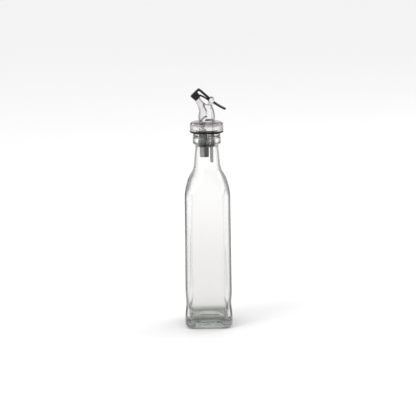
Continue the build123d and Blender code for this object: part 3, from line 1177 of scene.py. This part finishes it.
    def _wander(self, point: Vector) -> Vector:
        """Move a point of the cavity a little, as pressed glass has it.

        Args:
            point: The point.

        Returns:
            The moved point.
        """
        drift = noise.noise(Vector((point.x / 17.0, point.y / 17.0, point.z / 42.0)))
        outward = Vector((point.x, point.y, 0.0))
        if outward.length < 1.0:
            return point
        return point + outward.normalized() * (drift * self.wave)

    def _corner(self, point: Vector) -> float:
        """How far a point of the glass has turned the square's corner.

        Args:
            point: The point.

        Returns:
            The share, from 0 to 1. It is 1 all round the neck.
        """
        rise = (point.z - self.shoulder_base) / (self.neck_base - self.shoulder_base)
        half = self.body_width / 2 - self.body_corner
        flat = half * (1 - max(0.0, min(1.0, rise)) ** 0.5)
        return corner_share(point, flat, self.mark_fade)

    def build(self, finishes: Finishes) -> bpy.types.Object:
        """Build the bottle in glass.

        Args:
            finishes: The finishes to dress it in.

        Returns:
            The glass piece.
        """
        sphere = (self.push_up_radius**2 + self.push_up_depth**2) / (2 * self.push_up_depth)
        rings: list[list[Vector]] = [[Vector((0, 0, self.push_up_depth))]]
        for step in range(1, ARC_STEPS):
            radius = self.push_up_radius * step / ARC_STEPS
            height = self.push_up_depth - sphere + (sphere**2 - radius**2) ** 0.5
            rings.append(rounded_square(2 * radius, radius, height, self.ring_points))
        for height, width, corner in self.outside():
            rings.append(rounded_square(width, corner, height, self.ring_points))
        outer_points = 1 + (len(rings) - 1) * self.ring_points
        for height, width, corner in self.inside():
            ring = rounded_square(width, corner, height, self.ring_points)
            wanders = height < self.true_above
            rings.append([self._wander(point) if wanders else point for point in ring])
        flat = self.foot_width - 2 * self.wall - 2 * self.inner_heel
        for step in range(ARC_STEPS - 1, 0, -1):
            width = flat * step / ARC_STEPS
            rounded = self.cavity_corner - self.inner_heel + (ARC_STEPS - step) * 1.6
            corner = min(width / 2, rounded)
            rings.append(rounded_square(width, corner, self.floor, self.ring_points))
        rings.append([Vector((0, 0, self.floor))])
        piece = mesh_object("bottle_glass_body", ring_stack(rings), finishes.glass)
        cavity = piece.data.attributes.new(CAVITY_MARK, "FLOAT", "POINT")
        turned = piece.data.attributes.new(CORNER_MARK, "FLOAT", "POINT")
        for index, vertex in enumerate(piece.data.vertices):
            cavity.data[index].value = 1.0 if index >= outer_points else 0.0
            turned.data[index].value = self._corner(vertex.co / MM)
        return place(piece, Body.BOTTLE, Slot.GLASS, "glass_bottle")


# ---------------------------------------------------------------- the pourer


@dataclass
class Stopper:
    """The ribbed sleeve and the two tubes, which keep their CAD shapes, and the washer."""

    washer_low: float = 221.15
    washer_high: float = 223.0
    washer_bore: float = 9.12
    washer_radius: float = 18.78
    washer_round: float = 0.3

    def _washer(self) -> bmesh.types.BMesh:
        """The washer, with its outer edges rounded.

        Returns:
            The washer as a new mesh.
        """
        outline = (
            (self.washer_bore, self.washer_low, 0.0),
            (self.washer_radius, self.washer_low, self.washer_round),
            (self.washer_radius, self.washer_high, self.washer_round),
            (self.washer_bore, self.washer_high, 0.0),
        )
        across, up = Vector((1.0, 0.0, 0.0)), Vector((0.0, 1.0, 0.0))
        rings = []
        for radius, height in eased(outline, 4):
            rings.append(circle(Vector((0.0, 0.0, height)), across, up, radius, 128))
        return ring_stack(rings, closed=True)

    def build(self, finishes: Finishes) -> None:
        """Dress the stopper's pieces.

        Args:
            finishes: The finishes to dress them in.
        """
        dress("stopper_sleeve", finishes.soft_plastic)
        where = (40.0, Body.POURER, Slot.WASHER_RUBBER)
        fit("washer_rubber_ring", self._washer(), finishes.washer_rubber, *where, "sealing_washer")
        dress("pour_tube", finishes.smoky_plastic)
        dress("air_tube", finishes.milky_plastic)


@dataclass
class Housing:
    """The clear collar, spout and ears, with the pin that the lever turns on."""

    def build(self, finishes: Finishes) -> None:
        """Dress the housing and its pin.

        Args:
            finishes: The finishes to dress them in.
        """
        dress("spout_housing", finishes.clear_plastic)
        dress("pivot_pin", finishes.pin_steel)


@dataclass
class Lever:
    """The black thumb lever, with the hood that shuts the mouth."""

    pivot: Point2 = PIVOT
    mouth: Point2 = (-9.8, 257.75)
    mouth_lean: float = 44.0
    pad_offset: float = 1.4
    pad_radius: float = 3.9
    pad_thickness: float = 2.1
    pad_proud: float = 0.8
    seat_gap: float = 0.15
    arm_angle: float = 41.7
    arm_half: float = 1.175
    arm_drop: float = 0.3
    arm_width: float = 7.2
    hood_height: float = 8.4
    hood_plate: float = 2.4
    hood_half_length: float = 4.4
    hood_width: float = 10.8
    hub_radius: float = 2.8
    hub_half_width: float = 4.2
    slot_half_width: float = 1.68
    tail_end: Point2 = (21.5, 246.8)
    tail_half: float = 1.15
    tail_width: float = 10.4
    edge: float = 0.35
    hood_taper: float = 1.5  # how much narrower the hood starts
    hood_corner: float = 2.0
    tail_wide_from: float = 4.1  # past the pin, where the tail starts to widen
    tail_widening: float = 2.6
    tail_rounding: float = 3.0
    tail_steps: int = 24
    brace_sides: Point2 = (2.1, 3.4)  # across Y
    brace_head: Point2 = (3.75, 1.6)  # from the middle of the mouth
    brace_foot: Point2 = (-1.6, -2.2)  # from the pin
    brace_bow: Point2 = (0.5, 0.7)
    brace_half: float = 0.65
    brace_edge: float = 0.25
    brace_steps: int = 12
    hub_bore: float = 1.25
    round_points: int = 48

    def _pad_middle(self) -> Point2:
        """The middle of the seal pad on the mouth's plane."""
        return lean_point(self.mouth, self.mouth_lean, self.pad_offset, 0)

    def _mouth_axes(self) -> tuple[Vector, Vector, Vector]:
        """The mouth's plane, in axes of the whole bottle.

        Returns:
            The pad's middle, the direction across the mouth and the one out of it.
        """
        (x, z), lean = self._pad_middle(), radians(self.mouth_lean)
        across, up = Vector((cos(lean), 0, sin(lean))), Vector((-sin(lean), 0, cos(lean)))
        return Vector((x, 0, z)), across, up

    def _strip(self) -> list[Point2]:
        """The side view of the hood's plate and the arm.

        Returns:
            The outline's points.
        """
        pad, lean, half = self._pad_middle(), self.mouth_lean, self.hood_half_length
        inner = self.hood_height - self.hood_plate
        low_inner = lean_point(pad, lean, -half, inner)
        low_outer = lean_point(pad, lean, -half, self.hood_height)
        high_inner = lean_point(pad, lean, half, inner)
        high_outer = lean_point(pad, lean, half, self.hood_height)
        up, down = self.arm_half - self.arm_drop, -self.arm_half - self.arm_drop
        angle = -self.arm_angle
        upper_low = lean_point(self.pivot, angle, 0, up)
        upper_high = lean_point(self.pivot, angle, -10, up)
        under_low = lean_point(self.pivot, angle, 0, down)
        under_high = lean_point(self.pivot, angle, -10, down)
        apex_outer = meet(low_outer, high_outer, upper_low, upper_high)
        apex_inner = meet(low_inner, high_inner, under_low, under_high)
        outline = (
            (*low_inner, 0.0),
            (*low_outer, 1.3),
            (*apex_outer, 2.8),
            (*upper_low, 0.0),
            (*under_low, 0.0),
            (*apex_inner, 1.2),
            (*low_inner, 0.0),
        )
        return eased(outline, 8)[:-1]

    def _tail_line(self) -> list[Point2]:
        """The middle line of the tail, an arc from the hub to its end.

        Returns:
            Points of the line.
        """
        start = Vector(lean_point(self.pivot, -self.arm_angle, 0, -self.arm_drop))
        end = Vector(self.tail_end)
        chord = end - start
        slope = -radians(self.arm_angle)
        swing = 2 * (atan2(chord.y, chord.x) - slope)
        radius = chord.length / 2 / sin(swing / 2)
        line = []
        for step in range(self.tail_steps + 1):
            angle = slope + swing * step / self.tail_steps
            x = start.x + radius * (sin(angle) - sin(slope))
            z = start.y - radius * (cos(angle) - cos(slope))
            line.append((x, z))
        return line

    def _tail(self) -> bmesh.types.BMesh:
        """The tail: a bent strip, narrow between the ears and wide under the thumb.

        Returns:
            The strip as a new mesh.
        """
        line = self._tail_line()
        rings = []
        wide_from = self.pivot[0] + self.tail_wide_from
        last, rounding = self.tail_steps, self.tail_rounding
        for index, (x, z) in enumerate(line):
            ahead = Vector(line[min(index + 1, last)]) - Vector(line[max(index - 1, 0)])
            up = Vector((-ahead.y, ahead.x)).normalized()
            left = self.tail_end[0] - x
            half = self.arm_width / 2
            if x > wide_from:
                share = min(1.0, (x - wide_from) / self.tail_widening)
                half += (self.tail_width / 2 - half) * (share * (2 - share)) ** 0.5
            if left < rounding:
                arc = max(0.0, 1 - (1 - left / rounding) ** 2) ** 0.5
                half -= rounding * (1 - arc) * 0.8
            thick = self.tail_half * (1.0 if left > 0.6 else 0.85)
            section = self._strip_section(half, thick)
            rings.append([Vector((x + up.x * t, y, z + up.y * t)) for y, t in section])
        maker = ring_stack(rings)
        maker.verts.ensure_lookup_table()
        size = len(rings[0])
        maker.faces.new([maker.verts[i] for i in range(size)][::-1])
        maker.faces.new([maker.verts[len(maker.verts) - size + i] for i in range(size)])
        return maker

    @staticmethod
    def _strip_section(half: float, thick: float) -> list[Point2]:
        """A cross-section of the tail with rounded edges.

        Args:
            half: Half of the width.
            thick: Half of the thickness.

        Returns:
            Points as y and distance above the middle line.
        """
        section = []
        count = 40
        for step in range(count):
            c, s = cos(2 * pi * step / count), sin(2 * pi * step / count)
            y = copysign(half * abs(c) ** 0.35, c)
            section.append((y, copysign(thick * abs(s) ** 0.35, s)))
        return section

    def build(self, finishes: Finishes) -> None:
        """Build the lever's parts.

        Args:
            finishes: The finishes to dress them in.
        """
        black, dark = finishes.black_plastic, (Body.LEVER, Slot.BLACK_PLASTIC)
        half, inner, outer = self.arm_width / 2, *self.brace_sides
        fit("lever_arm", slab(self._strip(), -half, half, self.edge), black, 50.0, *dark, "lever")
        fit("lever_hood", self._hood(), black, 50.0, *dark)
        fit("lever_tail", self._tail(), black, 60.0, *dark)
        for name, low, high in (
            ("lever_hub_near", -self.hub_half_width, -self.slot_half_width),
            ("lever_hub_far", self.slot_half_width, self.hub_half_width),
        ):
            fit(name, self._hub(low, high), black, 50.0, *dark)
        for name, low, high in (("brace_near", -outer, -inner), ("brace_far", inner, outer)):
            fit(name, slab(self._brace(), low, high, self.brace_edge), black, 50.0, *dark)
        rubber, where = finishes.pad_rubber, (50.0, Body.LEVER, Slot.PAD_RUBBER)
        fit("seal_pad_rubber", self._pad(), rubber, *where, "seal_pad")

    def _hood(self) -> bmesh.types.BMesh:
        """The block that holds the seal pad.

        Returns:
            The block as a new mesh.
        """
        origin, across, up = self._mouth_axes()
        inner = self.seat_gap + self.pad_proud
        stations = (
            (inner, 0.55),
            (inner + 0.2, 0.70),
            (self.hood_height - 1.3, 1.45),
            (self.hood_height - 0.9, 1.38),
            (self.hood_height - 0.35, 0.95),
            (self.hood_height, 0.1),
        )
        rings = [[origin + up * inner]]
        for rise, grow in stations:
            length = 2 * self.hood_half_length - self.hood_taper + grow
            width = self.hood_width - self.hood_taper + grow
            stretch = (width - length) / 2
            ring = []
            for point in rounded_square(length, self.hood_corner, 0.0, 64):
                y = point.y + (copysign(stretch, point.y) if abs(point.y) > 1e-6 else 0)
                ring.append(origin + across * point.x + Vector((0, y, 0)) + up * rise)
            rings.append(ring)
        return ring_stack(rings + [[origin + up * self.hood_height]])

    def _hub(self, low: float, high: float) -> bmesh.types.BMesh:
        """One side of the hub round the pin.

        Args:
            low: Where it starts along Y.
            high: Where it ends.

        Returns:
            The hub as a new mesh.
        """
        profile = (
            (self.hub_bore, low + 0.15),
            (self.hub_bore + 0.15, low),
            (self.hub_radius - 0.25, low),
            (self.hub_radius, low + 0.25),
            (self.hub_radius, high - 0.25),
            (self.hub_radius - 0.25, high),
            (self.hub_bore + 0.15, high),
            (self.hub_bore, high - 0.15),
        )
        (x, z), across, up = self.pivot, Vector((1.0, 0.0, 0.0)), Vector((0.0, 0.0, 1.0))
        count = self.round_points
        rings = [circle(Vector((x, y, z)), across, up, radius, count) for radius, y in profile]
        return ring_stack(rings, closed=True)

    def _brace(self) -> list[Point2]:
        """The side view of a thin brace from the hood to the hub.

        Returns:
            The outline's points.
        """
        head = Vector(lean_point(self._pad_middle(), self.mouth_lean, *self.brace_head))
        foot = Vector(self.pivot) + Vector(self.brace_foot)
        last, line = self.brace_steps, []
        for step in range(last + 1):
            t = step / last
            line.append(head.lerp(foot, t) + Vector(self.brace_bow) * (4 * t * (1 - t)))
        upper, lower = [], []
        for index, point in enumerate(line):
            ahead = line[min(index + 1, last)] - line[max(index - 1, 0)]
            normal = Vector((-ahead.y, ahead.x)).normalized() * self.brace_half
            upper.append(tuple(point + normal))
            lower.append(tuple(point - normal))
        return upper + lower[::-1]

    def _pad(self) -> bmesh.types.BMesh:
        """The seal pad, a disc with rounded edges.

        Returns:
            The pad as a new mesh.
        """
        origin, across, up = self._mouth_axes()
        side = Vector((0.0, 1.0, 0.0))
        gap, top = self.seat_gap, self.seat_gap + self.pad_thickness
        profile = (
            (1.6, gap),
            (self.pad_radius - 0.35, gap),
            (self.pad_radius - 0.1, gap + 0.1),
            (self.pad_radius, gap + 0.35),
            (self.pad_radius, top - 0.1),
            (self.pad_radius - 0.1, top),
        )
        rings: list[list[Vector]] = [[origin + up * gap]]
        for radius, rise in profile:
            rings.append(circle(origin + up * rise, across, side, radius, self.round_points))
        rings.append([origin + up * top])
        return ring_stack(rings)


@dataclass
class ReturnSpring:
    """The small spring round the pin, in the wire that stays and the leg that turns."""

    pivot: Point2 = PIVOT
    coil_radius: float = 1.9
    wire_radius: float = 0.3
    pitch: float = 0.72
    turns: float = 3.0
    leg: float = 6.5
    rest_leg_angle: float = 25.0
    tail_leg_angle: float = 38.0
    coil_steps: int = 150
    leg_steps: int = 10
    lap: int = 6  # steps of the coil that the turning leg follows
    lap_inset: float = 0.02  # how much thinner it is there

    def _line(self) -> tuple[list[Vector], int]:
        """The wire's middle line.

        Returns:
            The points, and where the coil ends among them.
        """
        start = radians(-90.0 - self.rest_leg_angle)
        end = radians(self.tail_leg_angle - 90.0)
        sweep = 2 * pi * self.turns + start - end
        length = self.pitch * sweep / (2 * pi)
        steps, count = self.coil_steps, self.leg_steps
        coil = []
        for step in range(steps + 1):
            angle = start - sweep * step / steps
            x = -cos(angle) * self.coil_radius
            z = sin(angle) * self.coil_radius
            y = -length / 2 + length * step / steps
            coil.append(Vector((self.pivot[0] + x, y, self.pivot[1] + z)))
        first = (coil[0] - coil[1]).normalized()
        last = (coil[-1] - coil[-2]).normalized()
        lead = [coil[0] + first * (self.leg * (count - i) / count) for i in range(count)]
        tail = [coil[-1] + last * (self.leg * (i + 1) / count) for i in range(count)]
        return lead + coil + tail, count + steps

    def build(self, finishes: Finishes) -> None:
        """Build the two pieces of wire.

        Args:
            finishes: The finishes to dress them in.
        """
        line, last = self._line()
        full, lap = self.wire_radius, self.lap
        coil = tube_along(line[: last + 1], lambda i: full)
        piece = mesh_object("spring_coil", coil, finishes.spring_steel)
        place(piece, Body.POURER, Slot.SPRING_STEEL, "return_spring")
        thin = full - self.lap_inset
        leg = tube_along(line[last - lap :], lambda i: thin if i <= lap else full)
        piece = mesh_object("spring_leg", leg, finishes.spring_steel)
        place(piece, Body.LEVER, Slot.SPRING_STEEL)


# ---------------------------------------------------------------- the studio


@dataclass
class Studio:
    """A pale floor, soft light and the camera."""

    distance: float = 1.6
    elevation: float = 11.3
    roll: float = -0.72
    lens: float = 122.4
    aim: RGB = (0.00045, 0.0, 0.1343)
    floor_radius: float = 14.0
    floor_gap: float = 0.0004  # air under the bottle's foot
    sky: RGB = (0.97, 0.97, 0.97)
    lamp_size: float = 1.2
    lamp_aim: RGB = (0.0, 0.0, 0.14)

    def build(self) -> None:
        """Set the whole studio up."""
        self._camera()
        self._floor()
        self._world()
        self._lamps()
        view = bpy.context.scene.view_settings
        view.view_transform = "Standard"
        view.look = "None"
        bounces = bpy.context.scene.cycles
        bounces.max_bounces = 24
        bounces.transmission_bounces = 24
        bounces.transparent_max_bounces = 16

    def _camera(self) -> None:
        """Set the camera up."""
        lens = bpy.data.cameras.new("studio_camera")
        lens.lens = self.lens
        lens.sensor_width = 36.0
        lens.clip_start, lens.clip_end = 0.05, 60.0
        camera = bpy.data.objects.new("studio_camera", lens)
        bpy.context.scene.collection.objects.link(camera)
        up = radians(self.elevation)
        back = Vector((0.0, -cos(up), sin(up)))
        camera.location = Vector(self.aim) + back * self.distance
        camera.rotation_mode = "QUATERNION"
        facing = (-back).to_track_quat("-Z", "Y")
        tilt = Matrix.Rotation(radians(self.roll), 4, "Z").to_quaternion()
        camera.rotation_quaternion = facing @ tilt
        bpy.context.scene.camera = camera

    def _floor(self) -> None:
        """Lay the floor."""
        maker = bmesh.new()
        bmesh.ops.create_circle(maker, cap_ends=True, segments=96, radius=self.floor_radius / MM)
        material, net = new_material("pale_floor")
        cloud = net.noise(3.0, 2.0)
        inputs = {
            "Base Color": net.mix(cloud, (0.93, 0.93, 0.93), (0.92, 0.92, 0.92)),
            "Roughness": 0.6,
            "Specular IOR Level": 0.1,
        }
        net.close(inputs)
        floor = mesh_object("studio_floor", maker, material)
        floor.location.z = -self.floor_gap

    def _world(self) -> None:
        """Light the scene from all round."""
        world = bpy.data.worlds.new("soft_light")
        world.use_nodes = True
        bpy.context.scene.world = world
        net = Net(world.node_tree)
        inputs = {"Color": (*self.sky, 1.0), "Strength": 1.0}
        sky = net.node("ShaderNodeBackground", {}, inputs)
        net.node("ShaderNodeOutputWorld", {}, {"Surface": sky})

    def _lamps(self) -> None:
        """Hang two large soft lamps."""
        for name, spot, power in (
            ("key_lamp", (-1.2, -0.9, 1.5), 11.0),
            ("rim_lamp", (1.3, 0.8, 1.4), 6.0),
        ):
            lamp = bpy.data.lights.new(name, "AREA")
            lamp.shape = "DISK"
            lamp.size = self.lamp_size
            lamp.energy = power
            holder = bpy.data.objects.new(name, lamp)
            bpy.context.scene.collection.objects.link(holder)
            holder.location = spot
            aim = Vector(self.lamp_aim) - Vector(spot)
            holder.rotation_mode = "QUATERNION"
            holder.rotation_quaternion = aim.to_track_quat("-Z", "Y")


def main() -> None:
    """Build the bottle, the pourer and the studio, in that order."""
    logging.basicConfig(level=logging.INFO, format="%(name)s: %(message)s")
    finishes = Finishes.make()
    GlassBottle().build(finishes)
    Stopper().build(finishes)
    Housing().build(finishes)
    Lever().build(finishes)
    ReturnSpring().build(finishes)
    Studio().build()


if __name__ == "__main__":
    main()
